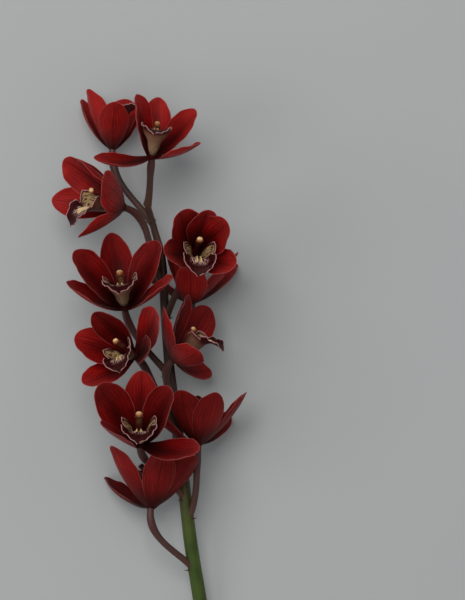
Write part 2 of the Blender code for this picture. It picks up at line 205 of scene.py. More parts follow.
# The finer lip: rows and columns, the notch before the middle lobe, crisped rims and the two ridges.
LIP_ROWS = 84
LIP_COLUMNS = 60
MIDDLE_CROWDING = 1.45
NOTCH_DEPTH = 0.20
NOTCH_PLACE = 0.585
NOTCH_SPREAD = 0.032
CRISP_HEIGHT = 0.55 * MM
CRISP_TURNS = 12.0
CRISP_START = (0.25, 0.50)
LIP_RIM_SOFTNESS = 1.0 * MM
LIP_RIM_THINNING = 0.5
RIDGE_OUT = 1.8 * MM
RIDGE_WIDTH = 0.85 * MM
RIDGE_LOW = 0.9 * MM
RIDGE_HIGH = 2.3 * MM
RIDGE_START = (0.12, 0.22)
RIDGE_RISE = (0.36, 0.56)
RIDGE_END = (0.68, 0.78)

# The column and its cap, as the solids have them.
COLUMN_STATIONS = [
    (1.4, 3.9, 2.9),
    (2.2, 8.0, 2.5),
    (4.8, 17.0, 2.3),
    (6.4, 25.0, 2.5),
    (5.6, 30.5, 2.7),
]
CAP_RADIUS = 2.5 * MM
CAP_LENGTH_SHARE = 0.80
CAP_BACK_SHARE = 0.45

# The finer column and cap: the column's wings, its flat underside and the hollow under its tip, and
# the shallow groove down the cap.
COLUMN_RINGS = 44
COLUMN_ROUND = 36
WING_SHARE = 0.30
WING_ANGLE = math.radians(-22)
WING_SPREAD = 0.32
WING_START = (0.15, 0.70)
FLAT_SHARE = 0.22
FLAT_SPREAD = 0.65
FLAT_START = (0.0, 0.3)
HOLLOW_SHARE = 0.34
HOLLOW_PLACE = 0.88
HOLLOW_LENGTH = 0.055
HOLLOW_SPREAD = 0.50
CAP_ROUND = 36
CAP_RINGS = 22
CAP_TIP_ANGLE = 0.08
GROOVE_SHARE = 0.08
GROOVE_WIDTH = 0.45 * MM
GROOVE_FULL_PLACE = 0.30

# How the laid-out stem is turned and moved to lie on the floor, and the blooms, as the solids have them.
# These numbers weren't chosen by hand: searches outside this script found most of them, rounded here.
LIE_ROLL = -0.00422
LIE_SHIFT = (0.00110, 0.05867, -0.00136)
BLOOMS = [
    dict(
        base=(0.0004, -0.1351, 0.0428), leaves=0.25, faces=(0.07, 0.97, -0.23), top=(-0.04, 0.23, 0.97),
        open=(0.92, 0.53, 0.92, 0.94, 0.89), turn=(17, 36, -13, -6, -2), size=0.97,
    ),
    dict(
        base=(0.0386, -0.0840, 0.0444), leaves=0.34, faces=(0.10, 0.99, 0.01), top=(0.57, -0.06, 0.82),
        open=(0.80, 0.95, 0.92, 0.80, 0.85), turn=(-22, 5, 10, -2, 2), size=0.95,
    ),
    dict(
        base=(-0.0075, -0.0827, 0.0766), leaves=0.375, faces=(0.00, 0.61, 0.79), top=(-0.01, 0.79, -0.61),
        open=(0.96, 0.44, 1.00, 0.80, 0.60), turn=(0, 9, 0, -9, 1), size=1.03,
    ),
    dict(
        base=(-0.0122, -0.0130, 0.0619), leaves=0.485, faces=(-0.45, 0.28, 0.85), top=(-0.24, 0.88, -0.41),
        open=(0.61, 0.80, 0.61, 0.67, 1.21), turn=(2, -2, 4, 4, -10), size=0.91,
    ),
    dict(
        base=(0.0182, -0.0164, 0.0586), leaves=0.515, faces=(0.67, 0.71, 0.23), top=(-0.67, 0.70, -0.25),
        open=(0.55, 0.85, 1.34, 1.09, 0.85), turn=(0, 1, 13, -2, -4), size=0.95,
    ),
    dict(
        base=(-0.0200, 0.0254, 0.0592), leaves=0.575, faces=(-0.10, 0.76, 0.64), top=(-0.05, 0.64, -0.77),
        open=(0.87, 0.71, 0.68, 0.71, 0.87), turn=(1, -9, 2, 2, 6), size=1.02,
    ),
    dict(
        base=(0.0334, 0.0293, 0.0341), leaves=0.62, faces=(0.04, 1.00, 0.03), top=(0.25, -0.04, 0.97),
        open=(1.19, 0.82, 0.89, 0.85, 0.68), turn=(-17, -1, -3, -3, -1), size=0.94,
    ),
    dict(
        base=(0.0367, 0.0688, 0.0778), leaves=0.675, faces=(0.12, 0.19, 0.97), top=(0.04, 0.98, -0.20),
        open=(0.46, 0.44, 0.57, 0.70, 0.49), turn=(-1, -5, -4, -22, 15), size=0.95,
    ),
    dict(
        base=(-0.0203, 0.1056, 0.0640), leaves=0.74, faces=(-0.85, 0.25, 0.46), top=(0.35, 0.93, 0.14),
        open=(0.47, 0.66, 0.65, 0.82, 0.92), turn=(0, -4, -8, -1, 3), size=1.01,
    ),
    dict(
        base=(-0.0304, 0.1530, 0.0320), leaves=0.93, faces=(0.06, 1.00, -0.05), top=(-0.91, 0.03, -0.41),
        open=(0.82, 0.78, 0.59, 0.62, 0.66), turn=(-4, -3, 16, 5, -15), size=0.90,
    ),
    dict(
        base=(0.0021, 0.1450, 0.0690), leaves=1.0, faces=(0.14, 0.87, 0.48), top=(0.07, 0.48, -0.88),
        open=(0.93, 1.29, 0.77, 0.48, 0.91), turn=(-2, 4, -5, 7, -1), size=0.89,
    ),
]

# The camera looks straight down. The picture's middle, in the frame of the solids, and the height of
# the field that it takes in at the height of the stem.
PICTURE_MIDDLE = (0.0669, 0.0907)
FIELD_HEIGHT = 0.480
STEM_HEIGHT = 0.045
LENS = 300.0
SENSOR = 36.0


def smooth(stations, places):
    """The rows of stations as a smooth curve through them, read at places from 0 to 1 (Catmull-Rom)."""
    rows = np.asarray(stations, float)
    last = len(rows) - 1
    rows = np.vstack([2 * rows[0] - rows[1], rows, 2 * rows[-1] - rows[-2]])
    spot = np.clip(np.asarray(places, float), 0.0, 1.0) * last
    cell = np.minimum(spot.astype(int), last - 1)
    t = (spot - cell)[..., None]
    a, b, c, d = (rows[cell + i] for i in range(4))
    return b + 0.5 * t * (c - a + t * (2 * a - 5 * b + 4 * c - d + t * (3 * (b - c) + d - a)))


def unit(vectors):
    """The vectors at length one."""
    return vectors / np.linalg.norm(vectors, axis=-1, keepdims=True)


def ease(values, low, high):
    """A smooth step from 0 at low to 1 at high."""
    t = np.clip((values - low) / (high - low), 0.0, 1.0)
    return t * t * (3 - 2 * t)


def bell(values, middle, spread):
    return np.exp(-(((values - middle) / spread) ** 2))


class Skin:
    """Closed bodies gathered into one mesh, with named values at their points."""

    def __init__(self):
        self.points = []
        self.faces = []
        self.values = {}
        self.count = 0

    def add(self, points, quads, triangles, values):
        """Adds one closed body, turned so that its faces look outward."""
        both = np.vstack([quads[:, [0, 1, 2]], quads[:, [0, 2, 3]], triangles])
        a, b, c = (points[both[:, i]] for i in range(3))
        if np.einsum("ij,ij->i", a, np.cross(b, c)).sum() < 0:
            quads = quads[:, ::-1]
            triangles = triangles[:, ::-1]
        self.points.append(points)
        self.faces += (quads + self.count).tolist() + (triangles + self.count).tolist()
        for name, numbers in values.items():
            self.values.setdefault(name, []).append(np.broadcast_to(numbers, len(points)))
        self.count += len(points)

    def add_blade(self, front, back, values):
        """A blade from the grids of its two faces, closed round its rim."""
        rows, columns = front.shape[:2]
        half = rows * columns
        index = np.arange(half).reshape(rows, columns)
        face = grid_quads(index)
        rim = np.concatenate([index[0, :-1], index[:-1, -1], index[-1, :0:-1], index[:0:-1, 0]])
        after = np.roll(rim, -1)
        side = np.stack([rim, rim + half, after + half, after], axis=1)
        quads = np.vstack([face, face[:, ::-1] + half, side])
        points = np.vstack([front.reshape(-1, 3), back.reshape(-1, 3)])
        both = {name: np.concatenate([a.ravel(), b.ravel()]) for name, (a, b) in values.items()}
        self.add(points, quads, np.empty((0, 3), int), both)

    def add_rings(self, rings, values):
        """A body from rings of points, closed at each end by a fan round the ring's middle."""
        count, around = rings.shape[:2]
        index = np.arange(count * around).reshape(count, around)
        quads = grid_quads(np.hstack([index, index[:, :1]]))
        first, last = count * around, count * around + 1
        near, far = index[0], index[-1]
        start = np.stack([np.roll(near, -1), near, np.full(around, first)], axis=1)
        end = np.stack([far, np.roll(far, -1), np.full(around, last)], axis=1)
        points = np.vstack([rings.reshape(-1, 3), rings[0].mean(axis=0), rings[-1].mean(axis=0)])
        full = {}
        for name, numbers in values.items():
            grid = np.broadcast_to(numbers, (count, around))
            full[name] = np.concatenate([grid.ravel(), [grid[0].mean(), grid[-1].mean()]])
        self.add(points, quads, np.vstack([start, end]), full)

    def build(self, name, place):
        """The gathered bodies as an object, moved by the matrix place and kept inside the solids' box."""
        turn = np.array(place)
        points = np.vstack(self.points) @ turn[:3, :3].T + turn[:3, 3]
        points = np.clip(points, *np.array(cad_box))
        mesh = bpy.data.meshes.new(name)
        mesh.from_pydata(points.tolist(), [], self.faces)
        for label, numbers in self.values.items():
            field = mesh.attributes.new(label, "FLOAT", "POINT")
            field.data.foreach_set("value", np.concatenate(numbers).astype(np.float32))
        mesh.shade_smooth()
        mesh.set_sharp_from_angle(angle=SMOOTH_UP_TO)
        obj = bpy.data.objects.new(name, mesh)
        bpy.context.scene.collection.objects.link(obj)
        return obj


def grid_quads(index):
    corners = [index[:-1, :-1], index[:-1, 1:], index[1:, 1:], index[1:, :-1]]
    return np.stack([corner.ravel() for corner in corners], axis=1)


def grid_normals(grid):
    """The unit normals of a grid of points, on the side of (across) x (along)."""
    along = np.gradient(grid, axis=0)
    across = np.gradient(grid, axis=1)
    return unit(np.cross(across, along))


def tepal_specs(bloom, rng):
    """The five tepals of a bloom, with the same draws as the solids."""
    specs = []
    for opening, turn, (kind, azimuth, start, end) in zip(bloom["open"], bloom["turn"], TEPAL_PLACES):
        sepal = kind == "sepal"
        specs.append(
            dict(
                azimuth=azimuth + turn + rng.uniform(-AZIMUTH_PLAY, AZIMUTH_PLAY),
                start=start * opening + rng.uniform(-START_PLAY, START_PLAY),
                end=end * opening + rng.uniform(-END_PLAY, END_PLAY),
                length=(SEPAL_LENGTH if sepal else PETAL_LENGTH) * rng.uniform(*LENGTH_RANGE),
                width=(SEPAL_WIDTH if sepal else PETAL_WIDTH) * rng.uniform(*WIDTH_RANGE),
                curl=rng.uniform(*CURL_RANGE),
                twist=rng.uniform(-TWIST_PLAY, TWIST_PLAY),
                sway=rng.uniform(-SWAY_PLAY, SWAY_PLAY),
                wave=rng.uniform(*WAVE_RANGE) * MM,
                phase=rng.uniform(0, TURN),
                lift=SEPAL_LIFT if sepal else PETAL_LIFT,
                bluntness=SEPAL_BLUNTNESS if sepal else PETAL_BLUNTNESS,
            )
        )
    return specs


def tepal_outline(t, bluntness):
    """Half the width at t, as a share of the greatest half width."""
    rise = np.sin(QUARTER * np.minimum(t / WIDEST_PLACE, 1.0)) ** WIDENING
    growing = ROOT_WIDTH_SHARE + (1 - ROOT_WIDTH_SHARE) * rise
    past = np.clip((t - WIDEST_PLACE) / (1 - WIDEST_PLACE), 0.0, 1.0)
    closing = np.maximum((1 - past * past) ** bluntness, TIP_SHARE)
    return np.where(t < WIDEST_PLACE, growing, closing)


def tepal_grid(spec, t, v):
    """The front face of a tepal: rows at the shares t of its length, columns at v across."""
    start, end = math.radians(spec["start"]), math.radians(spec["end"])
    bend = end - start
    round_axis = math.radians(spec["azimuth"])
    out = np.array([math.cos(round_axis), math.sin(round_axis), 0.0])
    axis = np.array([0.0, 0.0, 1.0])
    across = np.cross(out, axis)
    angle = (start + bend * t)[:, None]
    reach = (math.cos(start) - np.cos(angle)) / bend * spec["length"]
    rise = (np.sin(angle) - math.sin(start)) / bend * spec["length"]
    normal = axis * np.sin(angle) - out * np.cos(angle)
    twist = (spec["twist"] * t)[:, None]
    side = across * np.cos(twist) + normal * np.sin(twist)
    front = normal * np.cos(twist) - across * np.sin(twist)
    half = (spec["width"] / 2 * tepal_outline(t, spec["bluntness"]))[:, None]
    curl = spec["curl"] * (CURL_AT_ROOT + (1 - CURL_AT_ROOT) * np.minimum(1.0, t / CURL_FULL_PLACE))
    curl = (curl * (1 - TIP_FLATTENING * ease(t, TIP_FLAT_PLACE, 1.0)))[:, None]
    rows = t[:, None]
    ripple = spec["wave"] * np.abs(v) ** 3 * np.sin(TURN * WAVE_TURNS * rows + spec["phase"] + v)
    small = np.sin(TURN * RIM_WAVE_TURNS * rows + 2 * spec["phase"] + 2 * v)
    ripple = ripple + RIM_WAVE * np.abs(v) ** 6 * small
    middle = out * (TEPAL_ROOT + reach) + axis * (spec["lift"] + rise)
    middle = middle + side * (spec["sway"] * spec["length"] * rows * rows)
    sideways = half / curl * np.sin(curl * v)
    calm = 1 - ease(rows, TIP_FLAT_PLACE, 1.0)
    forward = half / curl * (1 - np.cos(curl * v)) + ripple * rows * calm
    grid = middle[:, None] + side[:, None] * sideways[..., None] + front[:, None] * forward[..., None]
    return grid, half * v, half * (1 - np.abs(v))


def add_tepal(skin, spec, tone):
    """One tepal as a blade with a thin rim, a crease down its face and a rib behind it."""
    t = np.sin(QUARTER * np.linspace(0, 1, TEPAL_ROWS + 1))
    u = np.linspace(-1, 1, TEPAL_COLUMNS + 1)
    v = EDGE_CROWDING * np.sin(QUARTER * u) + (1 - EDGE_CROWDING) * u
    grid, sideways, edge = tepal_grid(spec, t, v)
    rows = t[:, None]
    edge = np.minimum(edge, (1 - rows) * spec["length"])
    normals = grid_normals(grid)
    thick = TEPAL_THICKNESS * (1 - RIM_THINNING * np.exp(-edge / RIM_SOFTNESS))
    middle = TEPAL_THICKNESS / 2
    crease = bell(sideways, 0.0, CREASE_WIDTH) * ease(rows, *CREASE_START) * ease(1 - rows, *CREASE_END)
    front = grid - normals * (middle - thick / 2 + CREASE_DEPTH * crease)[..., None]
    back = grid - normals * (middle + thick / 2 + RIB_HEIGHT * crease)[..., None]
    shape = grid.shape[:2]
    along = np.broadcast_to(rows, shape)
    across = np.broadcast_to(v, shape)
    plain = np.ones(shape)
    skin.add_blade(
        front,
        back,
        dict(
            along=(along, along),
            across=(across, across),
            edge=(edge / MM, edge / MM),
            back=(0 * plain, plain),
            tone=(tone * plain, tone * plain),
        ),
    )


def make_tepals(name, bloom, number):
    """The five tepals and the hub that joins them. Blooms lower on the stem are darker: painted shade,
    mixed with a random tone for each tepal.
    """
    skin = Skin()
    rng = random.Random(FIRST_SEED + number)
    tones = random.Random(3 * FIRST_SEED + number)
    for spec in tepal_specs(bloom, rng):
        # Painted shade: the tone follows the bloom's place on the stem and is darker lower down, with a
        # random share for each tepal.
        tone = TONE_PLAY * tones.random() + (1 - TONE_PLAY) * bloom["leaves"]
        add_tepal(skin, spec, tone)
    rise = np.linspace(0, 1, HUB_RINGS + 1)
    radius = HUB_RADIUS * (HUB_BACK_SHARE + (1 - HUB_BACK_SHARE) * np.sin(QUARTER * rise))
    share, start = HUB_ROUNDING
    radius = radius * np.sqrt(1 - share * ease(rise, start, 1.0))
    turn = np.linspace(0, TURN, HUB_ROUND, endpoint=False)
    height = np.broadcast_to((HUB_HEIGHT * rise)[:, None], (HUB_RINGS + 1, HUB_ROUND))
    rings = np.stack([radius[:, None] * np.cos(turn), radius[:, None] * np.sin(turn), height], axis=-1)
    skin.add_rings(rings, dict(along=0.0, across=0.0, edge=9.0, back=0.5, tone=0.5))
    return skin.build(name, bloom_place(bloom))


def lip_grid(s, v):
    """The outer face of the lip: rows at s from foot to tip, columns at v across."""
    places = [row[0] for row in LIP_STATIONS]
    even = np.linspace(0, 1, len(places))

    def station(at):
        return smooth(LIP_STATIONS, np.interp(at, places, even))

    _, height, out, half, turn = station(s).T
    run = station(np.minimum(1.0, s + STEP)) - station(np.maximum(0.0, s - STEP))
    along = unit(np.stack([0 * s, run[:, 1], run[:, 2]], axis=1))
    upward = np.stack([0 * s, along[:, 2], -along[:, 1]], axis=1)
    notch = 1 - NOTCH_DEPTH * bell(s, NOTCH_PLACE, NOTCH_SPREAD)
    half = (half * notch * MM)[:, None]
    turn = turn[:, None]
    rows = s[:, None]
    sideways = half / turn * np.sin(turn * v)
    rise = half / turn * (1 - np.cos(turn * v))
    lobe = bell(rows, SIDE_LOBE_PLACE, SIDE_LOBE_SPREAD)
    reach = SIDE_LOBE_REACH * lobe * np.abs(v) ** 3
    frill = LIP_FRILL * v * v * np.sin(TURN * LIP_FRILL_TURNS * rows + LIP_FRILL_LEAN * v)
    frill = frill * np.minimum(1.0, rows / LIP_FRILL_FULL_PLACE)
    crisp = CRISP_HEIGHT * np.abs(v) ** 5 * np.sin(TURN * CRISP_TURNS * rows + 2 * LIP_FRILL_LEAN * v)
    frill = frill + crisp * ease(rows, *CRISP_START)
    middle = np.stack([0 * s, height * MM, out * MM], axis=1)
    lift = (rise + frill)[..., None] * upward[:, None]
    grid = middle[:, None] + sideways[..., None] * np.array([1.0, 0, 0]) + lift
    grid = grid + reach[..., None] * along[:, None]
    return grid, half * v, half * (1 - np.abs(v)), middle


def lip_ridges(rows, sideways):
    """The height of the two ridges on the inner face of the lip."""
    height = RIDGE_LOW + (RIDGE_HIGH - RIDGE_LOW) * ease(rows, *RIDGE_RISE)
    height = height * ease(rows, *RIDGE_START) * (1 - ease(rows, *RIDGE_END))
    return height * (bell(sideways, RIDGE_OUT, RIDGE_WIDTH) + bell(sideways, -RIDGE_OUT, RIDGE_WIDTH))


def make_lip(name, bloom, number):
    """The lip as one blade, with its ridges inside and its rim thinned."""
    s = np.linspace(0, 1, LIP_ROWS + 1)
    u = np.linspace(-1, 1, LIP_COLUMNS + 1)
    v = np.sign(u) * np.abs(u) ** MIDDLE_CROWDING
    grid, sideways, edge, middle = lip_grid(s, v)
    steps = np.linalg.norm(np.diff(middle, axis=0), axis=1)
    left = np.concatenate([np.cumsum(steps[::-1])[::-1], [0.0]])
    edge = np.minimum(edge, left[:, None] + MM)
    normals = -grid_normals(grid)
    thick = LIP_THICKNESS * (1 - LIP_RIM_THINNING * np.exp(-edge / LIP_RIM_SOFTNESS))
    core = LIP_THICKNESS / 2
    rows = s[:, None]
    ridge = lip_ridges(rows, sideways)
    inner = grid + normals * (core + thick / 2 + ridge)[..., None]
    outer = grid + normals * (core - thick / 2)[..., None]
    shape = grid.shape[:2]
    along = np.broadcast_to(rows, shape)
    across = np.broadcast_to(v, shape)
    plain = np.ones(shape)
    tone = random.Random(5 * FIRST_SEED + number).random()
    skin = Skin()
    skin.add_blade(
        inner,
        outer,
        dict(
            along=(along, along),
            across=(across, across),
            edge=(edge / MM, edge / MM),
            back=(0 * plain, plain),
            ridge=(ridge / RIDGE_HIGH, 0 * plain),
            tone=(tone * plain, tone * plain),
        ),
    )
    return skin.build(name, bloom_place(bloom))


def make_column(name, bloom, _):
    """The arched column, flat below, with two wings and a hollow under its tip."""
    place = np.linspace(0, 1, COLUMN_RINGS + 1)
    height, out, radius = smooth(COLUMN_STATIONS, place).T * MM
    run = np.gradient(np.stack([0 * place, height, out], axis=1), axis=0)
    along = unit(run)
    upward = np.stack([0 * place, along[:, 2], -along[:, 1]], axis=1)
    turn = np.linspace(0, TURN, COLUMN_ROUND, endpoint=False)
    rows = place[:, None]
    from_below = np.abs((turn + QUARTER + math.pi) % TURN - math.pi)
    wings = bell(from_below, QUARTER + WING_ANGLE, WING_SPREAD) * ease(rows, *WING_START)
    flat = bell(from_below, 0.0, FLAT_SPREAD) * ease(rows, *FLAT_START)
    hollow = bell(from_below, 0.0, HOLLOW_SPREAD) * bell(rows, HOLLOW_PLACE, HOLLOW_LENGTH)
    share = 1 + WING_SHARE * wings - FLAT_SHARE * flat - HOLLOW_SHARE * hollow
    size = radius[:, None] * share
    middle = np.stack([0 * place, height, out], axis=1)
    sideways = (size * np.cos(turn))[..., None] * np.array([1.0, 0, 0])
    rings = middle[:, None] + sideways + (size * np.sin(turn))[..., None] * upward[:, None]
    skin = Skin()
    skin.add_rings(rings, dict(along=rows, below=1 - from_below / math.pi, hollow=hollow))
    return skin.build(name, bloom_place(bloom))


def make_cap(name, bloom, _):
    """The cap on the column's end: a squat ball with a flat back and a groove down its middle."""
    height, out, _ = COLUMN_STATIONS[-1]
    before = COLUMN_STATIONS[-2]
    along = Vector((0, height - before[0], out - before[1])).normalized()
    turn = Vector((0, 0, 1)).rotation_difference(along).to_matrix().to_4x4()
    back = -CAP_BACK_SHARE * CAP_RADIUS
    widest = math.acos(back / CAP_RADIUS / CAP_LENGTH_SHARE)
    polar = np.linspace(widest, CAP_TIP_ANGLE, CAP_RINGS)
    around = np.linspace(0, TURN, CAP_ROUND, endpoint=False)
    x = CAP_RADIUS * np.sin(polar)[:, None] * np.cos(around)
    y = CAP_RADIUS * np.sin(polar)[:, None] * np.sin(around)
    z = np.broadcast_to((CAP_RADIUS * CAP_LENGTH_SHARE * np.cos(polar))[:, None], x.shape)
    groove = bell(x, 0.0, GROOVE_WIDTH)
    share = 1 - GROOVE_SHARE * groove * ease(z, back, GROOVE_FULL_PLACE * CAP_RADIUS)
    rings = np.stack([x, y * share, np.where(z > 0, z * share, z)], axis=-1)
    skin = Skin()
    skin.add_rings(rings, dict(groove=groove, ahead=z / CAP_RADIUS, upper=y / CAP_RADIUS))
    seat = Vector((0, height * MM, out * MM)) + along * (GAP - back)
    return skin.build(name, bloom_place(bloom) @ Matrix.Translation(seat) @ turn)


def lie_matrix():
    return Matrix.Translation(LIE_SHIFT) @ Matrix.Rotation(LIE_ROLL, 4, "Y")


def bloom_place(bloom):
    """From the bloom's own frame (right, up, out) to its place on the lying stem."""
    out = Vector(bloom["faces"]).normalized()
    up = Vector(bloom["top"])
    up = (up - out * up.dot(out)).normalized()
    right = up.cross(out)
    turn = Matrix((right, up, out)).transposed().to_4x4()
    return lie_matrix() @ Matrix.Translation(bloom["base"]) @ turn @ Matrix.Scale(bloom["size"], 4)


def carried_frames(points):
    """The directions along a line of points, and two more across it that turn as little as they can."""
    along = unit(np.gradient(points, axis=0))
    across = np.zeros_like(along)
    start = np.cross(along[0], [0.0, 0.0, 1.0])
    across[0] = start / np.linalg.norm(start)
    for i in range(1, len(points)):
        kept = across[i - 1] - along[i] * across[i - 1].dot(along[i])
        across[i] = kept / np.linalg.norm(kept)
    return along, across, np.cross(along, across)


def stem_at(share):
    """The stem's centre and direction at a share of its line."""
    here, ahead, behind = smooth(STEM_LINE, [share, min(1.0, share + STEP), max(0.0, share - STEP)])
    return here, unit(ahead - behind)


def stem_radii(shares):
    return smooth([[radius] for radius in STEM_RADII], shares)[..., 0] * MM


def add_tube(skin, points, radii, around, ribs, rib_share, values):
    """A round tube along points, with low ribs of rib_share of the radius at each ring."""
    _, across, up = carried_frames(points)
    turn = np.linspace(0, TURN, around, endpoint=False)
    size = radii[:, None] * (1 + rib_share[:, None] * np.cos(ribs * turn))
    rings = points[:, None] + across[:, None] * (size * np.cos(turn))[..., None]
    rings = rings + up[:, None] * (size * np.sin(turn))[..., None]
    skin.add_rings(rings, dict(values, around=np.broadcast_to(turn / TURN, size.shape)))


def stalk_line(bloom, steps, reach):
    """The flower stalk's centre line, from inside the stem to the bloom and reach further on."""
    root, along = stem_at(bloom["leaves"])
    out = np.array(bloom["faces"])
    out = out / np.linalg.norm(out)
    end = np.array(bloom["base"]) - out * GAP
    bent = end - out * STALK_STUB
    gap = bent - root
    away = unit(gap - along * gap.dot(along))
    ease_length = np.linalg.norm(gap) * STALK_EASE
    first = root + (along * STALK_ALONG + away * STALK_AWAY) * ease_length
    second = bent - out * ease_length
    t = np.linspace(0, 1, steps)[:, None]
    s = 1 - t
    points = root * s**3 + first * (3 * s * s * t) + second * (3 * s * t * t) + bent * t**3
    return np.vstack([points, end, end + out * reach])


def add_stalk(skin, bloom, tone):
    points = stalk_line(bloom, STALK_RINGS, STALK_REACH)
    run = np.concatenate([[0.0], np.cumsum(np.linalg.norm(np.diff(points, axis=0), axis=1))])
    place = run / run[-1]
    flare = STALK_FLARE * np.exp(-run / STALK_FLARE_LENGTH)
    ovary = bell(place, OVARY_PLACE, OVARY_SPREAD)
    radii = STALK_RADIUS + flare + OVARY_SWELL * ovary
    ribs = STALK_RIB_SHARE + OVARY_RIB_SHARE * ovary
    share = bloom["leaves"]
    values = dict(along=share, place=place[:, None], kind=1.0, tone=tone, middle=1.0)
    add_tube(skin, points, radii, STALK_ROUND, 2 * OVARY_RIBS, ribs / 2, values)


def bract_frame(bloom):
    """The foot of a bract, and its directions: along it, across it and towards the stem's cut end."""
    root, along = stem_at(bloom["leaves"])
    points = stalk_line(bloom, STALK_RINGS, 0.0)
    away = points[BRACT_AIM_RING] - root
    away = unit(away - along * away.dot(along))
    foot = root + away * (stem_radii(bloom["leaves"]) * BRACT_SINK_SHARE) - along * BRACT_DROP
    lean = unit(along * BRACT_ALONG + away * BRACT_AWAY)
    side = unit(np.cross(lean, along))
    backward = np.cross(side, lean)
    if backward.dot(along) > 0:
        backward = -backward
    return foot, lean, side, backward


def bract_grid(bloom, t, v):
    """The middle of a bract's thickness: rows at t along it, columns at v across."""
    foot, lean, side, backward = bract_frame(bloom)
    size, place, spread = BRACT_BELLY
    share = (1 - t**BRACT_TAPER) * (1 + size * bell(t, place, spread))
    half = BRACT_WIDTH / 2 * np.maximum(share, BRACT_TIP_SHARE)
    curl = BRACT_WRAP * (1 - BRACT_UNWRAPPING * t)
    sideways = half / curl * np.sin(curl * v)
    back = -half / curl * (1 - np.cos(curl * v)) + BRACT_TIP_BOW * t * t
    middle = foot + lean * (BRACT_LENGTH * t)
    return middle[:, None] + side * sideways[..., None] + backward * back[..., None]


def add_bract(skin, bloom, tone):
    """The small pointed bract that clasps the foot of a flower stalk from below."""
    t = np.linspace(0, 1, BRACT_ROWS + 1)[:, None]
    v = np.linspace(-1, 1, BRACT_COLUMNS + 1)
    grid = bract_grid(bloom, t, v)
    normals = grid_normals(grid)
    shape = grid.shape[:2]
    plain = np.ones(shape)
    rows = np.broadcast_to(t, shape)
    thick = BRACT_THICKNESS * (1 - BRACT_THINNING * rows)[..., None]
    columns = np.broadcast_to((v + 1) / 2, shape)
    stem_share = bloom["leaves"] * plain
    skin.add_blade(
        grid + normals * thick / 2,
        grid - normals * thick / 2,
        dict(
            along=(stem_share, stem_share),
            place=(rows, rows),
            kind=(2 * plain, 2 * plain),
            tone=(tone * plain, tone * plain),
            middle=(plain, plain),
            around=(columns, columns),
        ),
    )


def make_stem(name):
    """The stem, from the nearly flat cut that starts it, with its flower stalks and their bracts."""
    skin = Skin()
    shares = np.linspace(0, 1, STEM_RINGS)
    points = smooth(STEM_LINE, shares)
    radii = stem_radii(shares)
    ribs = np.full(STEM_RINGS, STEM_RIB_SHARE)
    back = np.linspace(CUT_STEP, 0, len(CUT_RINGS), endpoint=False)[:, None]
    points = np.vstack([points[0] - unit(points[1] - points[0]) * back, points])
    radii = np.concatenate([radii[0] * CUT_RINGS, radii])
    ribs = np.concatenate([0 * CUT_RINGS, ribs])
    along = np.concatenate([0 * CUT_RINGS, shares])[:, None]
    middle = np.concatenate([CUT_RINGS, np.ones(STEM_RINGS)])[:, None]
    add_tube(
        skin, points, radii, STEM_ROUND, STEM_RIBS, ribs,
        dict(along=along, place=along, kind=0.0, tone=0.5, middle=middle),
    )
    tones = random.Random(11 * FIRST_SEED)
    for bloom in BLOOMS:
        tone = tones.random()
        add_stalk(skin, bloom, tone)
        if bloom["leaves"] < 1.0:
            add_bract(skin, bloom, tone)
    return skin.build(name, lie_matrix())


class Shader:
    """A material whose node tree is built up call by call."""

    def __init__(self, name):
        self.material = bpy.data.materials.new(name)
        self.material.use_nodes = True
        self.tree = self.material.node_tree
        self.surface = self.tree.nodes["Principled BSDF"]

    def feed(self, socket, value):
        if isinstance(value, bpy.types.NodeSocket):
            self.tree.links.new(value, socket)
        else:
            socket.default_value = value

    def node(self, kind, inputs, **settings):
        made = self.tree.nodes.new(kind)
        for key, value in settings.items():
            setattr(made, key, value)
        for key, value in inputs.items():
            self.feed(made.inputs[key], value)
        return made

    def read(self, label):
        """A named value of the mesh."""
        return self.node("ShaderNodeAttribute", {}, attribute_name=label).outputs["Fac"]

    def math(self, operation, first, second=0.0):
        return self.node("ShaderNodeMath", {0: first, 1: second}, operation=operation).outputs[0]

    def spot(self, x, y, z):
        return self.node("ShaderNodeCombineXYZ", {0: x, 1: y, 2: z}).outputs[0]

    def object_spot(self):
        return self.node("ShaderNodeTexCoord", {}).outputs["Object"]

    def noise(self, place, scale, detail=2.0):
        inputs = {"Vector": place, "Scale": scale, "Detail": detail}
        return self.node("ShaderNodeTexNoise", inputs).outputs["Fac"]

    def times(self, first, second):
        return self.math("MULTIPLY", first, second)

    def drawn_noise(self, across, along, lane, detail=2.0):
        """Noise stretched to lines, from the scaled places across and along a blade."""
        return self.noise(self.spot(across, along, lane), 1.0, detail)

    def step(self, value, low, high, start=0.0, end=1.0):
        """value eased from start at low to end at high."""
        inputs = {"Value": value, "From Min": low, "From Max": high, "To Min": start, "To Max": end}
        node = self.node("ShaderNodeMapRange", inputs, interpolation_type="SMOOTHSTEP")
        return node.outputs["Result"]

    def blend(self, share, first, second, how="MIX"):
        """Two colours mixed by share."""
        node = self.node("ShaderNodeMix", {}, data_type="RGBA", blend_type=how)
        self.feed(node.inputs[0], share)
        self.feed(node.inputs[6], colour_of(first))
        self.feed(node.inputs[7], colour_of(second))
        return node.outputs[2]

    def grey(self, value):
        """A value as a grey colour."""
        return self.node("ShaderNodeCombineColor", {0: value, 1: value, 2: value}).outputs[0]

    def dim(self, colour, value, low, high, dark, light):
        """colour scaled by dark where value is low, easing to light where it is high."""
        return self.blend(1.0, colour, self.grey(self.step(value, low, high, dark, light)), "MULTIPLY")

    def bump(self, height, strength, distance):
        inputs = {"Height": height, "Strength": strength, "Distance": distance}
        return self.node("ShaderNodeBump", inputs).outputs["Normal"]

    def finish(self, colour, roughness, normal, **plain):
        self.feed(self.surface.inputs["Base Color"], colour)
        self.feed(self.surface.inputs["Roughness"], roughness)
        self.feed(self.surface.inputs["Normal"], normal)
        for key, value in plain.items():
            self.surface.inputs[key.replace("_", " ")].default_value = value
        return self.material


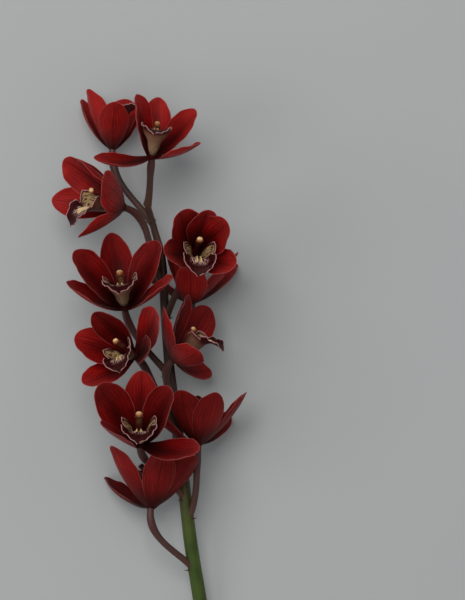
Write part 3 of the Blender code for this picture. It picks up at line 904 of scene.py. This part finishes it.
def colour_of(value):
    return (*value, 1.0) if isinstance(value, tuple) and len(value) == 3 else value


def tepal_colour(m, along, aside, back):
    """Dark red; near black towards the root, partly the tepal's own darker base and partly painted shade
    in the throat; painted shade along the middle of the face; lighter towards the tip, partly its own
    colour and partly painted sheen; duller behind.
    """
    # Painted shade: the face darkens to near black towards the root and in the throat, partly the tepal's
    # own darker base.
    depth = m.math("ADD", along, m.times(aside, 0.16))
    face = m.blend(m.step(depth, 0.10, 0.72), (0.014, 0.0006, 0.0007), (0.170, 0.0030, 0.0024))
    # Lighter towards the tip: partly the tepal's own colour and partly painted sheen where the light
    # grazes.
    face = m.blend(m.step(along, 0.45, 1.0, 0.0, 0.8), face, (0.235, 0.0120, 0.0105))
    # Painted shade: a dark band along the middle of the face, where the cupped tepal is shaded.
    shade = m.times(m.step(aside, 0.62, 0.0, 0.0, 0.58), m.step(along, 0.98, 0.50))
    face = m.blend(shade, face, (0.030, 0.0008, 0.0009))
    reverse = m.blend(m.step(along, 0.02, 0.55), (0.032, 0.0016, 0.0015), (0.215, 0.0085, 0.0072))
    return m.blend(back, face, reverse)


def tepal_material():
    """Satin dark red with fine veins, painted shade in the crease along the middle, and a thin paler rim,
    partly the tepal's own margin and partly painted rim light.
    """
    m = Shader("tepals_satin")
    along, across = m.read("along"), m.read("across")
    edge, back, tone = m.read("edge"), m.read("back"), m.read("tone")
    lane = m.times(tone, 31.0)
    aside = m.math("ABSOLUTE", across)
    sway = m.drawn_noise(m.times(across, 4.0), m.times(along, 3.0), lane)
    veins = m.step(m.math("SINE", m.math("ADD", m.times(across, 36.0), m.times(sway, 9.0))), -0.2, 1.0)
    streaks = m.drawn_noise(m.times(across, 20.0), m.times(along, 1.5), lane, 3.0)
    hairs = m.drawn_noise(m.times(across, 60.0), m.times(along, 4.0), lane)
    cloud = m.noise(m.object_spot(), 42.0, 3.0)
    grain = m.noise(m.object_spot(), 2600.0)
    colour = tepal_colour(m, along, aside, back)
    colour = m.dim(colour, streaks, 0.32, 0.68, 0.82, 1.16)
    colour = m.dim(colour, hairs, 0.30, 0.70, 0.84, 1.14)
    colour = m.dim(colour, veins, 0.0, 1.0, 0.90, 1.24)
    colour = m.dim(colour, cloud, 0.30, 0.70, 0.78, 1.20)
    # Painted shade: a lower tone, from blooms lower on the stem, darkens the colour; the random share is
    # the tepal's own tone.
    colour = m.dim(colour, tone, 0.15, 0.75, 0.46, 1.22)
    # Painted shade in the crease along the middle of the tepal.
    colour = m.blend(m.step(aside, 0.10, 0.0, 0.0, 0.35), colour, (0.040, 0.0012, 0.0014))
    # A thin paler rim: partly the tepal's own margin and partly painted rim light.
    rim = m.times(m.step(edge, 0.60, 0.10, 0.0, 0.60), m.step(along, 0.10, 0.35))
    colour = m.blend(rim, colour, (0.330, 0.085, 0.078))
    height = m.math("ADD", streaks, m.times(hairs, 0.35))
    height = m.math("ADD", height, m.times(veins, 0.30))
    height = m.math("ADD", height, m.times(grain, 0.05))
    return m.finish(
        colour, m.step(streaks, 0.25, 0.75, 0.42, 0.54), m.bump(height, 0.30, 0.0006),
        Subsurface_Weight=0.30, Subsurface_Radius=(3.5, 0.22, 0.16), Subsurface_Scale=MM,
        Sheen_Weight=0.04, Sheen_Roughness=0.40, Sheen_Tint=(1.0, 0.45, 0.42, 1.0),
        Specular_IOR_Level=0.10, Specular_Tint=(1.0, 0.66, 0.64, 1.0),
    )


def lip_inside(m, along, across, aside, edge, ridge, lane, blots):
    """Dark maroon with speckled tan cheeks, pink-cream dashes before them and two cream ridges."""
    dark = m.blend(m.step(blots, 0.35, 0.65), (0.012, 0.0007, 0.0010), (0.040, 0.0020, 0.0028))
    cheek = m.blend(m.step(blots, 0.46, 0.60), (0.350, 0.240, 0.112), (0.090, 0.024, 0.018))
    cheeks = m.times(m.step(aside, 0.20, 0.34), m.step(edge, 1.1, 2.8))
    cheeks = m.times(cheeks, m.times(m.step(along, 0.08, 0.20), m.step(along, 0.60, 0.48)))
    colour = m.blend(cheeks, dark, cheek)
    dashes = m.drawn_noise(m.times(across, 24.0), m.times(along, 15.0), lane)
    teeth = m.times(m.step(aside, 0.60, 0.38), m.step(dashes, 0.50, 0.56))
    teeth = m.times(teeth, m.times(m.step(along, 0.44, 0.54), m.step(along, 0.84, 0.72)))
    colour = m.blend(teeth, colour, (0.640, 0.400, 0.330))
    colour = m.blend(m.step(ridge, 0.16, 0.42), colour, (0.560, 0.400, 0.170))
    return m.blend(m.step(ridge, 0.60, 0.90, 0.0, 0.8), colour, (0.820, 0.640, 0.380))


def lip_outside(m, along, aside, veins):
    """Dull brown with fine dark specks, turning maroon towards the lobes."""
    specks = m.noise(m.object_spot(), 1500.0, 3.0)
    colour = m.blend(m.step(along, 0.05, 0.50), (0.310, 0.205, 0.115), (0.240, 0.110, 0.066))
    colour = m.blend(m.step(specks, 0.46, 0.60, 0.0, 0.60), colour, (0.100, 0.042, 0.032))
    colour = m.blend(m.step(along, 0.46, 0.62), colour, (0.070, 0.0060, 0.0070))
    colour = m.blend(m.step(veins, 0.45, 0.70, 0.0, 0.28), colour, (0.080, 0.022, 0.019))
    return m.blend(m.step(aside, 0.60, 1.0, 0.0, 0.8), colour, (0.075, 0.0080, 0.0090))


def lip_material():
    """The spotted inside, the dull outside and a pale rim round the front."""
    m = Shader("lip_spotted")
    along, across = m.read("along"), m.read("across")
    edge, back, ridge = m.read("edge"), m.read("back"), m.read("ridge")
    lane = m.times(m.read("tone"), 17.0)
    aside = m.math("ABSOLUTE", across)
    blots = m.drawn_noise(m.times(across, 14.0), m.times(along, 16.0), lane, 3.0)
    veins = m.drawn_noise(m.times(across, 26.0), m.times(along, 2.5), lane)
    inside = lip_inside(m, along, across, aside, edge, ridge, lane, blots)
    colour = m.blend(back, inside, lip_outside(m, along, aside, veins))
    rim = m.times(m.step(edge, 0.85, 0.38), m.step(along, 0.34, 0.42))
    colour = m.blend(rim, colour, (0.420, 0.215, 0.205))
    grain = m.noise(m.object_spot(), 1800.0)
    height = m.math("ADD", veins, m.times(grain, 0.12))
    return m.finish(
        colour, m.step(blots, 0.30, 0.70, 0.38, 0.52), m.bump(height, 0.35, 0.0005),
        Subsurface_Weight=0.12, Subsurface_Radius=(2.0, 0.6, 0.4), Subsurface_Scale=MM,
        Specular_IOR_Level=0.12, Specular_Tint=(1.0, 0.75, 0.72, 1.0),
    )


def column_material():
    """Dark maroon above; below, tan speckled with maroon towards the tip, and orange round the hollow."""
    m = Shader("column_speckled")
    along, below, hollow = m.read("along"), m.read("below"), m.read("hollow")
    specks = m.noise(m.object_spot(), 1500.0)
    cloud = m.noise(m.object_spot(), 180.0)
    above = m.blend(m.step(along, 0.0, 1.0), (0.045, 0.0030, 0.0040), (0.110, 0.0100, 0.0090))
    under = m.blend(m.step(specks, 0.42, 0.53), (0.270, 0.150, 0.062), (0.080, 0.0090, 0.0100))
    under = m.blend(m.step(along, 0.80, 0.45), under, (0.060, 0.0050, 0.0060))
    colour = m.blend(m.step(below, 0.60, 0.82), above, under)
    colour = m.blend(m.step(hollow, 0.25, 0.60), colour, (0.330, 0.150, 0.050))
    colour = m.dim(colour, cloud, 0.3, 0.7, 0.8, 1.2)
    return m.finish(
        colour, m.step(specks, 0.3, 0.7, 0.36, 0.48), m.bump(specks, 0.25, 0.0003),
        Subsurface_Weight=0.10, Subsurface_Radius=(2.0, 0.8, 0.5), Subsurface_Scale=MM,
        Specular_IOR_Level=0.25,
    )


def cap_material():
    """Waxy cream to orange-brown, lighter above and darker below, partly its own colour and partly a
    painted highlight above and painted shade below; orange-brown at the back, painted shade in its groove,
    and a few faint freckles.
    """
    m = Shader("cap_wax")
    groove, ahead, upper = m.read("groove"), m.read("ahead"), m.read("upper")
    freckles = m.noise(m.object_spot(), 1100.0)
    cloud = m.noise(m.object_spot(), 350.0)
    # Lighter cream above and darker orange-brown below: partly the cap's own colour, partly a painted
    # highlight on top and painted shade underneath.
    colour = m.blend(m.step(upper, -0.60, 0.60), (0.300, 0.100, 0.022), (0.830, 0.580, 0.280))
    colour = m.blend(m.step(ahead, 0.1, -0.4, 0.0, 0.6), colour, (0.420, 0.170, 0.045))
    # Painted shade in the groove down the cap.
    colour = m.blend(m.step(groove, 0.3, 0.9, 0.0, 0.35), colour, (0.430, 0.190, 0.060))
    colour = m.blend(m.step(freckles, 0.60, 0.68, 0.0, 0.45), colour, (0.300, 0.070, 0.040))
    colour = m.dim(colour, cloud, 0.3, 0.7, 0.86, 1.08)
    return m.finish(
        colour, m.step(cloud, 0.3, 0.7, 0.36, 0.46), m.bump(freckles, 0.20, 0.0002),
        Subsurface_Weight=0.15, Subsurface_Radius=(2.0, 1.2, 0.5), Subsurface_Scale=MM,
        Specular_IOR_Level=0.35,
    )


def skin_colours(m, along, place, tone, cloud):
    """The colours of the stem, of its stalks and of its bracts."""
    green = m.blend(m.step(cloud, 0.3, 0.7), (0.030, 0.052, 0.005), (0.054, 0.086, 0.008))
    brown = m.blend(m.step(cloud, 0.3, 0.7), (0.030, 0.012, 0.008), (0.060, 0.022, 0.014))
    stem = m.blend(m.step(m.math("ADD", along, m.times(cloud, 0.08)), 0.34, 0.50), green, brown)
    foot = m.blend(m.step(cloud, 0.3, 0.7), (0.060, 0.024, 0.012), (0.095, 0.040, 0.020))
    stalk = m.blend(m.step(place, 0.05, 0.45), foot, (0.062, 0.028, 0.024))
    stalk = m.blend(m.step(place, 0.55, 0.85), stalk, (0.055, 0.014, 0.012))
    stalk = m.blend(m.step(tone, 0.0, 1.0, 0.0, 0.35), stalk, (0.085, 0.032, 0.024))
    bract = m.blend(m.step(place, 0.2, 1.0), (0.075, 0.040, 0.016), (0.040, 0.016, 0.009))
    return stem, stalk, bract


def stem_material():
    """Green below, browner among the flowers; mauve-brown stalks, dry brown bracts, a pale cut end."""
    m = Shader("stem_skin")
    along, place, kind = m.read("along"), m.read("place"), m.read("kind")
    middle, tone = m.read("middle"), m.read("tone")
    turn = m.times(m.read("around"), TURN)
    round_it = m.times(m.math("SINE", turn), 9.0), m.times(m.math("COSINE", turn), 9.0)
    lines = m.drawn_noise(*round_it, m.times(along, 9.0), 3.0)
    cloud = m.noise(m.object_spot(), 60.0, 3.0)
    grain = m.noise(m.object_spot(), 1500.0)
    stem, stalk, bract = skin_colours(m, along, place, tone, cloud)
    colour = m.blend(m.step(kind, 0.4, 0.6), stem, stalk)
    colour = m.blend(m.step(kind, 1.4, 1.6), colour, bract)
    colour = m.dim(colour, lines, 0.3, 0.7, 0.80, 1.18)
    pith = m.blend(m.step(middle, 0.70, 0.90), (0.300, 0.330, 0.130), (0.110, 0.160, 0.040))
    pith = m.blend(m.step(grain, 0.50, 0.60, 0.0, 0.5), pith, (0.170, 0.150, 0.060))
    colour = m.blend(m.step(middle, 0.985, 0.955), colour, pith)
    height = m.math("ADD", lines, m.times(grain, 0.08))
    return m.finish(
        colour, m.step(lines, 0.3, 0.7, 0.36, 0.48), m.bump(height, 0.30, 0.0005),
        Subsurface_Weight=0.06, Subsurface_Radius=(1.0, 1.0, 0.4), Subsurface_Scale=MM,
        Specular_IOR_Level=0.28,
    )


def floor_material():
    """Plain matt pale grey paper with a faint grain."""
    m = Shader("floor_paper")
    cloud = m.noise(m.object_spot(), 3.0)
    grain = m.noise(m.object_spot(), 700.0)
    colour = m.blend(m.step(cloud, 0.3, 0.7), (0.392, 0.402, 0.398), (0.408, 0.416, 0.411))
    rough = m.step(grain, 0.3, 0.7, 0.86, 0.94)
    return m.finish(colour, rough, m.bump(grain, 0.05, 0.0002), Specular_IOR_Level=0.15)


def make_floor():
    bpy.ops.mesh.primitive_grid_add(x_subdivisions=4, y_subdivisions=4, size=16.0)
    floor = bpy.context.object
    floor.name = "floor"
    floor.data.materials.append(floor_material())


def area_light(name, place, target, size, power, colour):
    data = bpy.data.lights.new(name, "AREA")
    data.shape = "DISK"
    data.size = size
    data.energy = power
    data.color = colour
    light = bpy.data.objects.new(name, data)
    light.location = place
    light.rotation_mode = "QUATERNION"
    light.rotation_quaternion = (Vector(target) - Vector(place)).to_track_quat("-Z", "Y")
    bpy.context.scene.collection.objects.link(light)


def light_scene():
    """Soft studio light: a big lamp above the flowers' tips, a weaker one at the left, and a pale sky."""
    area_light("key", (-0.35, 0.95, 2.40), (0.0, 0.12, 0.05), 1.5, 34.5, (1.0, 0.985, 0.97))
    area_light("side", (-1.70, -0.20, 1.70), (0.0, 0.05, 0.05), 1.4, 10.8, (0.97, 0.985, 1.0))
    world = bpy.data.worlds.new("studio")
    world.use_nodes = True
    background = world.node_tree.nodes["Background"]
    background.inputs["Color"].default_value = (0.93, 0.96, 1.0, 1.0)
    background.inputs["Strength"].default_value = 0.41
    bpy.context.scene.world = world
    bpy.context.scene.view_settings.view_transform = "Standard"


def make_camera():
    data = bpy.data.cameras.new("camera")
    data.lens = LENS
    data.sensor_width = SENSOR
    distance = FIELD_HEIGHT / 2 / (SENSOR / 2 / LENS)
    camera = bpy.data.objects.new("camera", data)
    camera.location = (*PICTURE_MIDDLE, STEM_HEIGHT + distance)
    bpy.context.scene.collection.objects.link(camera)
    bpy.context.scene.camera = camera


def place_piece(piece, material, node):
    """Dresses a finished piece and puts it in the place of its solid."""
    piece.data.materials.append(material)
    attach(piece, "root")
    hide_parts(node)


def main():
    place_piece(make_stem("flower_stem"), stem_material(), "stem")
    makers = {
        "tepals": (make_tepals, tepal_material()),
        "lip": (make_lip, lip_material()),
        "column": (make_column, column_material()),
        "anther_cap": (make_cap, cap_material()),
    }
    for number, bloom in enumerate(BLOOMS):
        for kind, (make, material) in makers.items():
            piece = make(f"{kind}_{number + 1:02d}", bloom, number)
            place_piece(piece, material, f"bloom_{number + 1:02d}_{kind}")
    make_floor()
    light_scene()
    make_camera()


main()
